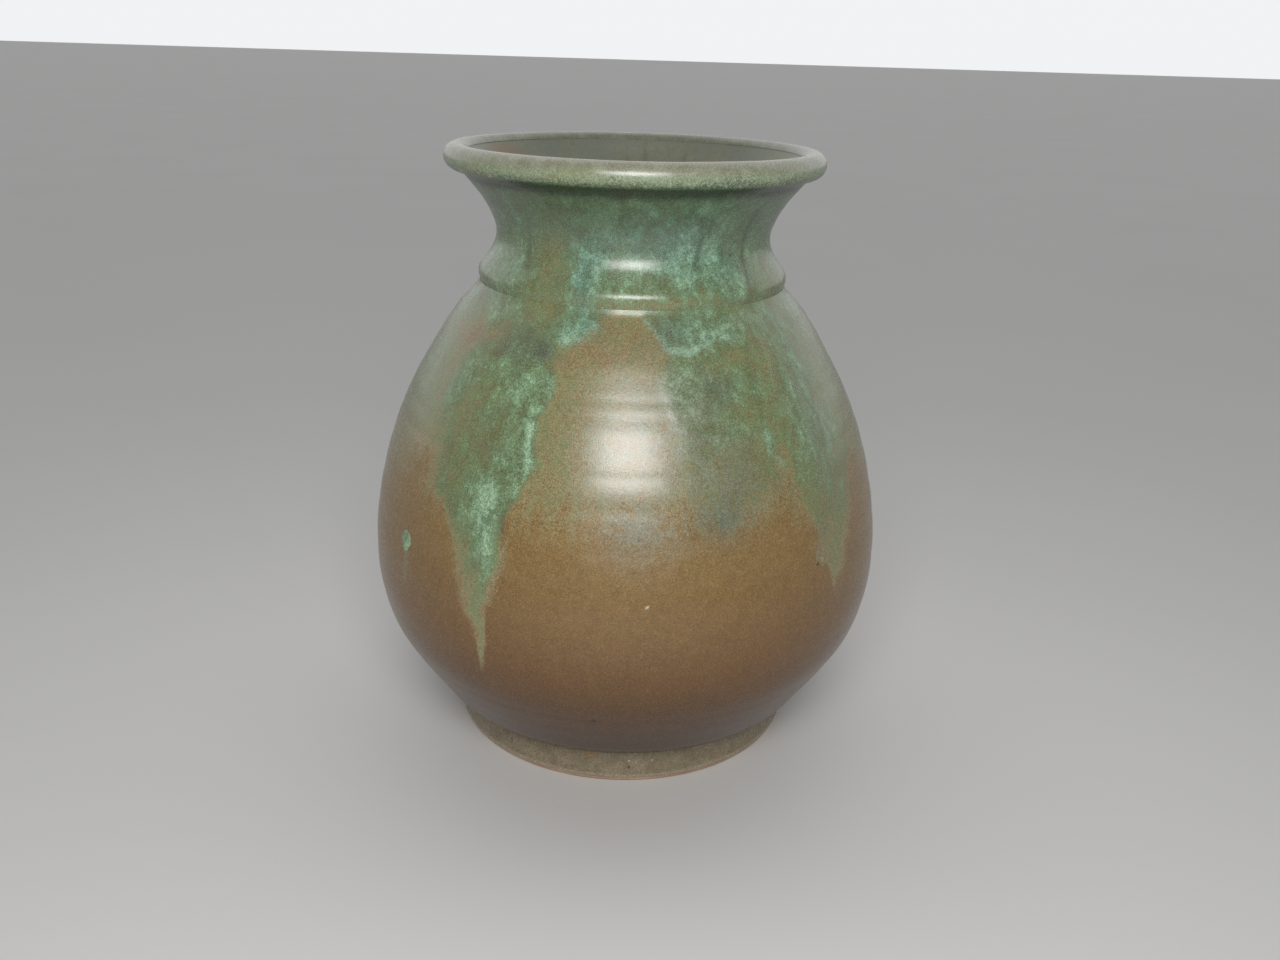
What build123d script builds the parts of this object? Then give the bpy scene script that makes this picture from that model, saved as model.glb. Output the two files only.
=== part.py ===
from build123d import *
import os

# Wheel-thrown stoneware vase: a foot ring, a round body and a flared neck collar with a
# rolled rim, joined in the clay, and the glaze coats that were fired onto them.
# Millimetres, +Z up. The origin is on the axis, in the plane that the foot stands on.
# Outlines are (radius, height) pairs in the XZ plane and are turned about Z.

# ---- driving dimensions ------------------------------------------------------------
vase_height = 240.0
coat = 0.5               # outside glaze
liner_coat = 0.4         # inside glaze
stations = 24            # points that carry a coat line along its clay line
touching = 1e-6          # ends closer than this are one point

# foot ring: outer side of the glaze at its lower edge and at the top, and the recess
foot_height = 15.5
foot_low_radius = 71.2
foot_top_radius = 69.7
foot_low_bore = 60.0
foot_top_bore = 58.0
bare_edge = 2.4          # unglazed clay above the table
foot_edge_round = 1.2

# belly: it turns out from the foot in one arc, and is widest a third of the way up
belly_start = (80.8, 21.6)
belly_points = [(89.9, 35.0), (98.8, 50.0), (104.5, 80.0), (100.8, 110.0), (91.1, 140.0),
                (77.5, 165.0)]
pour_edge = (68.6, 178.0)      # where the green coat takes over from the base coat
shoulder_point = (63.1, 184.0)
groove = (60.2, 188.6)         # hollow under the ridge, where the collar is joined on

# neck collar: a small ridge, a waist and a flare up to the rolled rim
ridge = (60.75, 191.8)
neck_points = [(57.9, 197.0), (53.5, 206.5), (56.6, 217.0), (61.4, 224.0)]
rim_radius = 68.6
rim_roll = 4.5                 # section radius of the rolled rim, over the glaze
rim_under_angle = -105.0       # where the neck runs into the roll
rim_lip_angle = 150.0          # where the green coat meets the liner

# inside of the wall
floor_height = 23.5
body_inside = [(60.8, 179.5), (71.0, 165.5), (85.3, 139.5), (95.2, 110.0), (98.8, 80.0),
               (93.5, 52.0), (80.0, 33.5), (62.0, 26.0)]
floor_edge = (45.0, floor_height)
join_inside = (54.6, groove[1])
collar_inside = [(60.4, 229.0), (51.4, 217.5), (48.2, 206.5), (51.0, 196.0)]

# thick tongues of green glaze that ran down over the base coat, seen square on:
# direction from the front, then (half width, height) from the shoulder to the tip
run_thickness = 0.7
run_reach = 130.0
left_run = (-29.0, [(15.0, 185.0), (10.5, 160.0), (8.0, 130.0), (4.5, 100.0), (2.0, 74.0)], 60.0)
right_run = (50.0, [(15.0, 185.0), (14.0, 150.0), (10.5, 118.0), (5.0, 98.0)], 86.0)

# one splashed drop of glaze on the belly
drop_direction = -53.0
drop_height = 99.0
drop_half_width = 3.3
drop_half_height = 4.1
drop_thickness = 1.0


# ---- outline curves ----------------------------------------------------------------
def coat_line(curve, depth):
    """A spline that keeps a constant depth from a curve, to the left of its run."""
    points = []
    for index in range(stations + 1):
        t = index / stations
        along = curve % t
        points.append(curve @ t + Vector(-along.Y, along.X) * depth)
    return Spline(points, mode=Mode.PRIVATE)


def join(edge_end, edge_start):
    """A straight line across the gap between two curves, if there is one."""
    if (edge_end - edge_start).length > touching:
        Line(edge_end, edge_start)


def chain(*curves):
    """Curves that follow each other, with straight lines across their gaps."""
    for curve in curves:
        add(curve)
    for curve, following in zip(curves, curves[1:]):
        join(curve @ 1, following @ 0)


def section(*curves):
    """The closed outline of a solid wall."""
    chain(*curves)
    join(curves[-1] @ 1, curves[0] @ 0)


def skin(outer, inner):
    """The closed outline of a coat between two rows of curves that run the same way."""
    chain(*outer)
    chain(*inner)
    join(outer[0] @ 0, inner[0] @ 0)
    join(outer[-1] @ 1, inner[-1] @ 1)


rim_height = vase_height - rim_roll
rim_centre = (rim_radius, rim_height)

# glazed outer surface, from the foot up to the lip
foot_face = Line((foot_low_radius, bare_edge), (foot_top_radius, foot_height), mode=Mode.PRIVATE)
rim_under = Vector(rim_centre) + Vector(rim_roll, 0).rotate(Axis.Z, rim_under_angle)
wall_face = Spline([belly_start, *belly_points, pour_edge, shoulder_point, groove, ridge,
                    *neck_points, rim_under], mode=Mode.PRIVATE)
turn_back = TangentArc(belly_start, foot_face @ 1, tangent=-(wall_face % 0), mode=Mode.PRIVATE)
turn_face = turn_back.reversed(reconstruct=True)
belly_face = wall_face.trim(0, pour_edge)
shoulder_face = wall_face.trim(pour_edge, groove)
neck_face = wall_face.trim(groove, 1)
rim_sweep = rim_lip_angle - rim_under_angle
rim_face = CenterArc(rim_centre, rim_roll, rim_under_angle, rim_sweep, mode=Mode.PRIVATE)

# the clay under it
foot_clay = Line((foot_low_radius - coat, bare_edge), (foot_top_radius - coat, foot_height),
                 mode=Mode.PRIVATE)
turn_clay = coat_line(turn_face, coat)
belly_clay = coat_line(belly_face, coat)
shoulder_clay = coat_line(shoulder_face, coat)
neck_clay = coat_line(neck_face, coat)
rim_clay = CenterArc(rim_centre, rim_roll - coat, rim_under_angle, rim_sweep, mode=Mode.PRIVATE)

# inside of the clay, from the lip down to the middle of the floor, and the liner on it
bore = Spline([rim_clay @ 1, *collar_inside, join_inside, *body_inside, floor_edge],
              mode=Mode.PRIVATE)
collar_bore = bore.trim(0, join_inside)
body_bore = bore.trim(join_inside, 1)
floor = Line(floor_edge, (0, floor_height), mode=Mode.PRIVATE)
collar_lining = coat_line(collar_bore, -liner_coat)
body_lining = coat_line(body_bore, -liner_coat)
floor_lining = Line(body_lining @ 1, (0, floor_height + liner_coat), mode=Mode.PRIVATE)

# ---- clay --------------------------------------------------------------------------
with BuildPart() as foot_ring:
    with BuildSketch(Plane.XZ):
        with BuildLine():
            add(foot_clay)
            Polyline(foot_clay @ 1, (foot_top_bore, foot_height), (foot_low_bore, 0),
                     (foot_low_radius - coat, 0), foot_clay @ 0)
        make_face()
    revolve(axis=Axis.Z)
    fillet(foot_ring.faces().sort_by(Axis.Z)[0].edges(), foot_edge_round)

with BuildPart() as thrown_body:
    with BuildSketch(Plane.XZ):
        with BuildLine():
            section(Line((0, foot_height), foot_clay @ 1, mode=Mode.PRIVATE), turn_clay,
                    belly_clay, shoulder_clay, body_bore, floor)
        make_face()
    revolve(axis=Axis.Z)

with BuildPart() as neck_collar:
    with BuildSketch(Plane.XZ):
        with BuildLine():
            section(neck_clay, rim_clay, collar_bore)
        make_face()
    revolve(axis=Axis.Z)

# ---- glaze -------------------------------------------------------------------------
with BuildPart() as base_glaze:
    with BuildSketch(Plane.XZ):
        with BuildLine():
            skin([foot_face, turn_face, belly_face], [foot_clay, turn_clay, belly_clay])
        make_face()
    revolve(axis=Axis.Z)

with BuildPart() as green_glaze:
    with BuildSketch(Plane.XZ):
        with BuildLine():
            skin([shoulder_face, neck_face, rim_face], [shoulder_clay, neck_clay, rim_clay])
        make_face()
    revolve(axis=Axis.Z)

with BuildPart() as liner_glaze:
    with BuildSketch(Plane.XZ):
        with BuildLine():
            skin([collar_lining, body_lining, floor_lining], [collar_bore, body_bore, floor])
        make_face()
    revolve(axis=Axis.Z)


def outward(direction):
    """A plane through the axis that faces a direction, counted from the front."""
    return Plane.XZ.rotated((0, 0, direction))


# the outlines of the runs, pushed out through the belly
with BuildPart() as run_outlines:
    for direction, edge, tip in (left_run, right_run):
        with BuildSketch(outward(direction)):
            with BuildLine():
                side = Spline(*edge, (0, tip))
                mirror(side, about=Plane.YZ)
                Line((-edge[0][0], edge[0][1]), edge[0])
            make_face()
        extrude(amount=run_reach)

with BuildPart() as glaze_runs:
    with BuildSketch(Plane.XZ):
        with BuildLine():
            skin([coat_line(belly_face, -run_thickness)], [belly_face])
        make_face()
    revolve(axis=Axis.Z)
    add(run_outlines.part, mode=Mode.INTERSECT)

with BuildPart() as drop_outline:
    with BuildSketch(outward(drop_direction)):
        with Locations((0, drop_height)):
            Ellipse(drop_half_width, drop_half_height)
    extrude(amount=run_reach)

with BuildPart() as glaze_drop:
    with BuildSketch(Plane.XZ):
        with BuildLine():
            skin([coat_line(belly_face, -drop_thickness)], [belly_face])
        make_face()
    revolve(axis=Axis.Z)
    add(drop_outline.part, mode=Mode.INTERSECT)

# ---- one file for each piece -------------------------------------------------------
os.makedirs("parts", exist_ok=True)

foot_ring.part.label = "foot_ring"
export_step(foot_ring.part, "parts/foot_ring.step")
thrown_body.part.label = "thrown_body"
export_step(thrown_body.part, "parts/thrown_body.step")
neck_collar.part.label = "neck_collar"
export_step(neck_collar.part, "parts/neck_collar.step")
base_glaze.part.label = "base_glaze"
export_step(base_glaze.part, "parts/base_glaze.step")
green_glaze.part.label = "green_glaze"
export_step(green_glaze.part, "parts/green_glaze.step")
liner_glaze.part.label = "liner_glaze"
export_step(liner_glaze.part, "parts/liner_glaze.step")
glaze_runs.part.label = "glaze_runs"
export_step(glaze_runs.part, "parts/glaze_runs.step")
glaze_drop.part.label = "glaze_drop"
export_step(glaze_drop.part, "parts/glaze_drop.step")
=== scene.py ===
"""A wheel-thrown stoneware vase with a poured copper green glaze over a brown base glaze.

Metres, +Z up, in the frame of the CAD model. A direction round the pot is in degrees from
the front (-Y), and positive towards +X.
"""

import math
from types import SimpleNamespace

import bpy
import numpy as np
from mathutils import Matrix, Vector, noise
from mathutils.kdtree import KDTree


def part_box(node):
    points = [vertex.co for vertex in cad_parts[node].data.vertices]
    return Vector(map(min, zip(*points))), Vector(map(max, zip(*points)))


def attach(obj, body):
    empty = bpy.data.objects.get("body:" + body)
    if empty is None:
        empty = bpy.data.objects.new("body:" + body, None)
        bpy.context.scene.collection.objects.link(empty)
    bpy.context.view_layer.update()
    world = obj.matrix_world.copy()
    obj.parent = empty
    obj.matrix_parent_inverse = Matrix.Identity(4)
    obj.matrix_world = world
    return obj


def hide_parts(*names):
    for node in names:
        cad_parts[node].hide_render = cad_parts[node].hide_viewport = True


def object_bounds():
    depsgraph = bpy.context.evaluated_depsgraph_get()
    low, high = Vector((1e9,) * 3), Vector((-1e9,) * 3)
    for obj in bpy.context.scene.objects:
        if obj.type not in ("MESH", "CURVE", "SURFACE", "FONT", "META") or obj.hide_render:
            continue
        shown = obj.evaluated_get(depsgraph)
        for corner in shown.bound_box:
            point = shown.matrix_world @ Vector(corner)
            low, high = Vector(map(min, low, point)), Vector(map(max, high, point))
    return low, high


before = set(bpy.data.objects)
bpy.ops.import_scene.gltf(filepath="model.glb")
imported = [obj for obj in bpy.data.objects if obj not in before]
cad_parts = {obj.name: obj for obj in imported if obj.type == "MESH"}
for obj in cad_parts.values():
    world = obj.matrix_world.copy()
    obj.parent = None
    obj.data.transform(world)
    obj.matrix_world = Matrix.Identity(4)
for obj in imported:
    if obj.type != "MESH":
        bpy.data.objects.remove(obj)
cad_low, cad_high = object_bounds()

MM = 0.001
BODY = "root"
MERGED = 0.02 * MM             # vertices closer than this are one
WANDER_SEED = 2                # sets how the edges of the glaze wander, the same every time
noise.seed_set(WANDER_SEED)

# ---- sizes, in millimetres, that follow the CAD model ---------------------------------
VASE_HEIGHT = cad_high.z / MM
FOOT_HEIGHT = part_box("foot_ring")[1].z / MM
COAT = 0.5                     # depth of the outside glaze
LINER_COAT = 0.4               # depth of the inside glaze
SHELL = 0.4                    # how far the glaze pieces reach into the surface
BARE_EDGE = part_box("base_glaze")[0].z / MM
FOOT_LOW_RADIUS = 71.2
FOOT_TOP_RADIUS = 69.7
RIM_RADIUS = 68.6
RIM_ROLL = 4.5
RIM_HEIGHT = VASE_HEIGHT - RIM_ROLL
RIM_LOW = RIM_HEIGHT - RIM_ROLL
BELLY_START = (80.8, 21.6)
GROOVE = (60.2, 188.6)
RIM_UNDER_ANGLE = -105.0
RIM_LIP_ANGLE = 150.0
FLOOR_HEIGHT = 23.5            # top of the clay floor inside
FLOOR_EDGE = (45.0, FLOOR_HEIGHT)


def on_roll(angle, radius=RIM_ROLL):
    """A point of the rolled rim's section, at an angle from straight outwards."""
    a = math.radians(angle)
    return (RIM_RADIUS + radius * math.cos(a), RIM_HEIGHT + radius * math.sin(a))


WALL_POINTS = [BELLY_START, (89.9, 35.0), (98.8, 50.0), (104.5, 80.0), (100.8, 110.0),
               (91.1, 140.0), (77.5, 165.0), (68.6, 178.0), (63.1, 184.0), GROOVE,
               (60.75, 191.8), (57.9, 197.0), (53.5, 206.5), (56.6, 217.0), (61.4, 224.0),
               on_roll(RIM_UNDER_ANGLE)]
BORE_POINTS = [on_roll(RIM_LIP_ANGLE, RIM_ROLL - COAT), (60.4, 229.0), (51.4, 217.5),
               (48.2, 206.5), (51.0, 196.0), (54.6, GROOVE[1]), (60.8, 179.5), (71.0, 165.5),
               (85.3, 139.5), (95.2, 110.0), (98.8, 80.0), (93.5, 52.0), (80.0, 33.5),
               (62.0, 26.0), FLOOR_EDGE]
FOOT_BORE = (60.0, 58.0)       # recess radius at the table and under the body

# the splashed drop: where its middle is, how it leans with the belly, and its size
DROP_DIRECTION = -53.0
DROP_HEIGHT = 99.0
DROP_RADIUS = 103.2
DROP_LEAN = 8.4
DROP_HALF_WIDTH = 3.4
DROP_SHAPE = (1.0, 0.34, 1.22) # width, depth and height of the drop against its width
DROP_TAPER = 0.25
DROP_GREEN = 0.75              # how thick its glaze counts as

# how finely the pieces are made: steps along their outlines, and columns round them
TURN_STEP = 1.1
WALL_STEP = 1.25
COLLAR_STEP = 0.72
BORE_STEP = 1.6
GLAZE_COLUMNS = 480
LINING_COLUMNS = 300
FOOT_COLUMNS = 360
SMOOTH_UNDER = math.radians(50)    # edges that turn more than this stay sharp

# heights between which the tints of the outside change, and where shade is painted on the neck
TAN_HEIGHT = 120               # the brown base glaze grows paler up to here
NECK_PAINTED_SHADE = (198, 222)        # painted shade: the neck darkens from the first height to the second
NECK_PAINTED_SHADE_END = (232.5, 230.5)
CREASE_PAINTED_SHADOW = (225.5, 229.0)        # painted shadow of the rim: darker again in the crease under it
CREASE_PAINTED_SHADOW_END = (232.5, 231.0)

# how far things stand out of the glaze, or into it
RUN_RISE = 0.4
LINE_RISE = 0.2
FLECK_RISE = 0.35
RUST_RISE = 0.3
PIT_DEPTH = 0.35

THROWING_RATE = 900.0          # radians a metre: a throwing line inside every 7 mm
TURNING_RATE = 3100.0          # radians a metre: a turning line on the foot every 2 mm

# ---- how the glaze lies ---------------------------------------------------------------
# lower edge of the green coat on the shoulder: (direction, height, how soft it is)
POUR_EDGE = [(-180, 172, 4), (-160, 178, 2), (-140, 169, 5), (-122, 177, 3), (-104, 171, 5),
             (-85, 179, 4), (-70, 182, 8), (-56, 181, 6), (-40, 179, 5), (-28, 179, 4),
             (-21, 179, 2), (-18, 177.5, 1), (-14, 180, 1), (-11, 184, 2), (-6, 187, 5),
             (1, 187, 3), (5, 183.5, 1), (9, 180, 1), (13, 176.3, 1), (17, 177.3, 1),
             (24, 178.2, 1), (30, 179, 1), (35, 178, 4), (45, 176, 9), (66, 174, 9),
             (80, 179, 4), (98, 170, 3), (118, 178, 2), (138, 170, 4), (160, 177, 3)]

# tongues of glaze: (amount, softness of the left side and right side in mm, then
# (height, left edge, right edge) from the top down, in degrees)
RUNS = [
    (0.60, 14, 4, [(182, -62, -18), (156, -57, -18.5), (140, -54, -20), (125, -50, -22.2),
                    (115, -44, -24.3), (98, -37, -25.8), (86, -34, -27.0), (67, -31.6, -29.0),
                    (57, -30.6, -29.9)]),
    (0.54, 5, 14, [(182, 33, 82), (148, 34, 76), (130, 38.5, 68), (118, 41, 64),
                   (106, 42.8, 59), (92, 46.5, 53.5), (82, 48.8, 50.2)]),
    (0.56, 5, 3, [(182, 98, 126), (160, 100, 124), (135, 104, 121), (112, 108, 117),
                  (92, 111, 113.5)]),
    (0.60, 4, 6, [(182, 166, 198), (150, 171, 194), (120, 177, 191), (92, 181.5, 187),
                  (66, 184, 185.2)]),
    (0.55, 3, 7, [(182, -124, -94), (158, -120, -98), (138, -115, -101), (118, -110, -105)]),
]

# a thinner, greyer wash, in the same form
WASHES = [
    (0.68, 20, 7, [(180, 0, 41), (160, 0, 41), (145, 2, 41), (134, 6, 37), (126, 11, 29),
                  (118, 17, 26), (112, 20, 23.5)]),
    (0.42, 5, 8, [(180, 132, 166), (150, 136, 163), (124, 144, 158)]),
    (0.42, 8, 5, [(180, -172, -134), (155, -166, -138), (128, -158, -146)]),
]
# the least amount of green glaze on the upper belly: (direction, amount)
HAZE = [(-180, 0.36), (-150, 0.30), (-115, 0.36), (-75, 0.50), (-50, 0.50), (-38, 0.38),
        (-18, 0.31), (-5, 0.28), (10, 0.30), (32, 0.34), (50, 0.44), (78, 0.46), (105, 0.34),
        (140, 0.30)]
THIN_HAZE = 0.28
HAZE_EDGE = (102, 138)         # the thin part fades out between these heights
HAZE_TOP = (122, 156)          # and the rest between these

# patches: (direction, height, half width, half height, strength), sizes in millimetres
PALE_PATCHES = [      # thick, milky mint
    (-31, 163, 12, 6, 0.20), (-22.5, 146, 4, 10, 0.8), (-26, 138, 5, 6, 0.4),
    (-31, 124, 6, 8, 0.75), (-30, 112, 5, 12, 0.9), (-28.5, 95, 2, 8, 0.25),
    (-45, 125, 4, 4, 0.5), (-50.5, 155, 3.5, 9, 0.7), (-17.5, 181, 5, 4, 0.8),
    (43, 196, 3, 7, 0.4), (30, 203, 6, 8, 0.2), (-48, 197, 10, 6, 0.35),
    (24, 149, 7, 3, 0.45), (34, 145, 2, 8, 0.5), (12, 158, 4, 10, 0.3),
    (47, 155, 2.5, 22, 0.25), (54, 165, 2.5, 22, 0.25), (112, 140, 8, 14, 0.7),
    (184, 122, 6, 20, 0.8), (-108, 146, 8, 10, 0.7), (150, 168, 9, 6, 0.4),
    (-150, 168, 8, 7, 0.5), (-15, 203, 8, 9, 0.5), (18, 203, 10, 6, 0.15), (0, 205, 14, 5, 0.25),
    (-25, 164, 6, 5, 0.35), (178, 200, 9, 6, 0.4),
]
TEAL_PATCHES = [      # blue-green, where the copper is strongest
    (-17, 204, 8, 9, 0.75), (-18.5, 193, 4, 8, 0.8), (17, 212, 13, 10, 0.5),
    (20, 200, 10, 7, 0.35), (2, 213, 10, 8, 0.35), (-15, 183, 6, 5, 0.7),
    (16, 182, 9, 4, 0.6), (36, 203, 8, 9, 0.4), (50, 135, 5, 22, 0.25),
    (90, 205, 12, 9, 0.6), (135, 212, 10, 10, 0.7), (180, 200, 12, 8, 0.6),
    (-130, 208, 11, 9, 0.7), (-85, 203, 10, 8, 0.4), (4, 212, 26, 12, 0.45),
    (45, 205, 14, 12, 0.3), (-45, 208, 10, 12, 0.25),
]
OLIVE_PATCHES = [     # thin green over brown
    (-30, 203, 9, 14, 0.9), (-38, 222, 9, 7, 0.4), (-31, 186, 9, 5, 0.7),
    (6, 190.4, 17, 1.8, 1.0), (32, 190, 14, 3, 0.7), (28, 172.5, 15, 4, 0.6),
    (30, 158, 7, 5, 0.5), (-43, 150, 9, 10, 0.85), (-34.5, 143, 5, 5, 0.9),
    (-42, 131, 7, 9, 0.6), (-54, 130, 8, 14, 0.5), (-36, 160, 8, 6, 0.6),
    (8, 218, 3, 10, 0.6), (-57, 162, 6, 12, 0.6), (58, 196, 10, 12, 0.4),
    (40, 170, 6, 14, 0.4), (64, 150, 6, 22, 0.5), (110, 190, 14, 8, 0.7),
    (160, 188, 12, 6, 0.7), (-110, 190, 14, 7, 0.8), (-150, 200, 9, 12, 0.7),
]
OCHRE_PATCHES = [     # honey where the green thinned away
    (-56, 172.5, 12, 5, 1.0), (-44, 176, 10, 3, 0.6), (-8, 175, 12, 5, 0.9),
    (-3, 182, 11, 4.5, 0.8), (-17, 171, 7, 4, 0.7), (-15, 145, 6, 26, 0.4),
    (31, 172.5, 11, 3.5, 0.6), (37, 152, 3, 7, 0.3), (31, 128, 9, 7, 0.4),
    (90, 165, 9, 5, 0.9), (130, 170, 8, 4, 0.7), (-130, 166, 9, 5, 0.9),
    (165, 165, 8, 4, 0.7), (-85, 170, 8, 4, 0.8),
]
WARM_PATCHES = [      # rust showing through
    (-55, 174, 6, 2.5, 0.6), (-49, 176.5, 7, 2.5, 0.5), (-6, 175, 9, 3, 0.6),
    (-17, 170.5, 5, 3, 0.5), (30, 141, 7, 7, 0.4), (22, 170, 4, 4, 0.35),
    (0, 179, 6, 3, 0.3), (92, 164, 8, 4, 0.7), (-128, 165, 8, 4, 0.7),
    (163, 166, 7, 4, 0.6), (-38, 206, 5, 5, 0.3), (62, 120, 8, 12, 0.4),
]
SLATE_PATCHES = [     # smoky blue-grey spots
    (-24, 173.5, 3.5, 2.5, 1.0), (-33, 174.5, 11, 3.5, 0.75), (22, 165, 6, 6, 0.75),
    (-34, 143, 6, 5, 0.4), (27, 138, 8, 9, 0.3), (14, 178.5, 5, 2, 0.4),
    (20, 123, 10, 9, 0.7), (11, 182.5, 5, 3, 0.5), (18, 150, 5, 8, 0.3),
    (-28, 197, 3, 4, 0.3), (120, 172, 8, 3, 0.8),
    (45, 113, 6, 9, 0.30), (35, 130, 8, 9, 0.25), (52, 150, 7, 22, 0.25),
    (20, 214, 10, 7, 0.20), (-52, 173, 12, 4, 0.20), (-140, 172, 7, 3, 0.7),
    (175, 158, 5, 6, 0.7), (5, 206, 4, 3, 0.25),
]
VEILS_AND_SHEEN = [             # milky grey cast, and painted sheen: the first three, over the highlight at the front, stand for the reflection of a bright panel
    (0, 148, 15, 22, 0.6), (4, 120, 15, 9, 0.8), (14, 150, 12, 22, 0.7), (23, 130, 10, 14, 0.75),
    (80, 140, 14, 20, 0.5), (140, 130, 16, 20, 0.5), (-75, 130, 14, 18, 0.4),
    (-135, 132, 14, 18, 0.5),
]
DARK_STREAKS = [      # hair lines of iron and bare grey in the green
    (-4, 228, 1.2, 3.5, 0.9), (-2.5, 221, 1.0, 5, 0.7), (27, 212, 0.9, 7, 0.8),
    (26, 203, 0.9, 5, 0.6), (48, 212, 1.0, 12, 0.8), (47.5, 197, 0.9, 9, 0.7),
    (47, 176, 1.0, 9, 0.3), (8, 217, 1.4, 6, 0.5), (-8, 211, 1.2, 6, 0.35),
    (-25.0, 117, 1.0, 5, 1.0), (-43, 206, 1.2, 6, 0.4), (100, 214, 1.2, 9, 0.6),
    (142, 204, 1.2, 11, 0.6), (-95, 212, 1.3, 9, 0.6), (-160, 208, 1.2, 10, 0.6),
]
PITS = [              # pin holes and iron specks: (direction, height, radius)
    (-6, 43.5, 2.0), (43.4, 99.5, 1.2), (-20, 233, 0.8), (55, 62, 0.9), (-62, 74, 0.9),
    (25, 84, 0.7), (118, 60, 1.0), (-118, 88, 0.9), (170, 48, 1.1), (75, 110, 0.8),
    (3, 6.5, 0.9), (11, 9, 0.8), (-1, 10, 0.7), (28, 7, 0.8), (-36, 9, 0.8),
]
CREAM_FLECKS = [      # pale blisters: (direction, height, radius)
    (4.4, 94.5, 1.0), (3.4, 93.4, 0.8), (-25.4, 95, 1.1), (-25.6, 99, 1.0),
    (-25.2, 103, 0.9), (44, 103, 0.9), (44.8, 101, 0.9), (2.8, 9.4, 1.1), (5.2, 9.1, 1.0),
    (10.6, 9.4, 1.1), (-17.6, 11.6, 0.9), (-24, 11, 0.9), (31, 11.8, 1.0), (33.4, 12.4, 0.9),
    (150, 90, 1.0), (-100, 72, 0.9),
]
RIM_BREAKS = [        # dark specks where the glaze broke over the rim
    (30, 232.8, 16, 1.6, 0.9), (14, 233.6, 8, 1.4, 0.5), (-4, 235.5, 5, 2.0, 0.4),
    (100, 233.0, 18, 1.6, 0.8), (-120, 233.4, 16, 1.6, 0.7), (170, 233.0, 14, 1.6, 0.6),
]
RIM_OLIVES = [        # thinner, yellower glaze along the rim
    (-24, 232.8, 12, 2.0, 0.8), (-14, 236.0, 9, 2.4, 0.4), (-48, 235.0, 12, 3.0, 0.3),
    (140, 233.5, 16, 2.5, 0.7), (-90, 234.0, 14, 2.5, 0.6),
]
RUST_SPOTS = [        # blisters on the foot: (direction, height, radius)
    (-11.3, 12.6, 1.1), (-10.6, 11.4, 0.9), (-9.2, 11.1, 1.0), (-8.9, 13.4, 1.2),
    (-7.6, 11.3, 1.0), (-6.9, 12.8, 1.1),
]

LINING_BARE = [(-118, 226, 18, 12, 1.0)]      # brown where the inside glaze is thin
LINING_STREAKS = [    # dark lines inside the neck
    (176, 222, 0.8, 12, 0.8), (-176, 224, 0.5, 9, 0.5), (160, 226, 0.7, 7, 0.6),
    (-150, 218, 0.8, 9, 0.4),
]

# rolled edges of pooled mint glaze: (half width, strength, [(direction, height), ...])
MINT_LINES = [
    (0.9, 0.8, [(3, 185), (5, 183), (9, 180), (13, 176.2), (14.5, 175.6), (17, 177.2),
                (24, 178), (27, 179.2), (31, 179)]),
    (0.9, 0.35, [(-53.0, 95), (-53.2, 82)]),
    (1.6, 0.7, [(-20.5, 180), (-18, 178), (-15, 179.6), (-12.5, 183)]),
    (0.8, 0.5, [(33, 150), (34.5, 144), (37, 137)]),
    (0.8, 0.6, [(42.3, 108), (43.5, 103), (45.2, 98)]),
    (0.8, 0.4, [(-24.3, 112), (-25.8, 100), (-26.6, 90)]),
    (1.2, 0.22, [(44, 178), (46.5, 160), (48, 128)]),
    (1.0, 0.25, [(52, 184), (54.5, 150), (55.5, 122)]),
    (1.0, 0.25, [(39.5, 184), (41.5, 164), (43.5, 146)]),
    (0.9, 0.6, [(100, 168), (104, 135), (109, 110)]),
    (1.0, 0.7, [(-176, 150), (-178, 120), (-175, 90)]),
]

# finger marks left by throwing: (height, half width, height of the mark in mm, tilt)
THROWING_MARKS = [
    (171, 3.0, 0.08, 0.4), (161, 1.5, -0.08, -0.5), (155.5, 1.4, -0.06, 0.3),
    (151, 2.2, 0.07, -0.3), (146, 1.6, -0.06, 0.4), (138, 1.4, -0.10, 0.5),
    (132, 3.0, 0.08, -0.4), (126, 1.8, -0.10, 0.3), (119, 4.0, 0.08, -0.6),
    (112.5, 1.5, -0.10, 0.3), (106, 4.0, 0.07, 0.5), (99, 1.6, -0.11, -0.4),
    (91, 4.5, 0.07, 0.5), (82, 1.8, -0.10, 0.4), (73, 4.0, 0.07, -0.5),
    (63, 2.0, -0.10, 0.4), (52, 3.5, 0.07, 0.6), (43, 2.0, -0.10, -0.4),
    (33, 3.0, 0.07, 0.5), (222, 2.0, -0.07, 0.4), (214, 2.4, 0.07, -0.3),
    (199, 1.8, 0.06, 0.4),
]


# ---- outlines -------------------------------------------------------------------------
def smooth_line(points, step):
    """Even points, a step apart, on the natural cubic spline through a few given ones."""
    p = np.array(points, float)
    t = np.concatenate([[0], np.cumsum(np.hypot(*np.diff(p, axis=0).T))])
    h = np.diff(t)
    n = len(p)
    system = np.eye(n)
    pull = np.zeros((n, 2))
    for i in range(1, n - 1):
        system[i, i - 1:i + 2] = h[i - 1], 2 * (h[i - 1] + h[i]), h[i]
        pull[i] = 6 * ((p[i + 1] - p[i]) / h[i] - (p[i] - p[i - 1]) / h[i - 1])
    bend = np.linalg.solve(system, pull)
    at = np.linspace(0, t[-1], int(round(t[-1] / step)) + 1)
    k = np.clip(np.searchsorted(t, at, side="right") - 1, 0, n - 2)
    a = ((t[k + 1] - at) / h[k])[:, None]
    b = 1 - a
    hk = h[k][:, None]
    return (a * p[k] + b * p[k + 1]
            + ((a ** 3 - a) * bend[k] + (b ** 3 - b) * bend[k + 1]) * hk ** 2 / 6)


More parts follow.
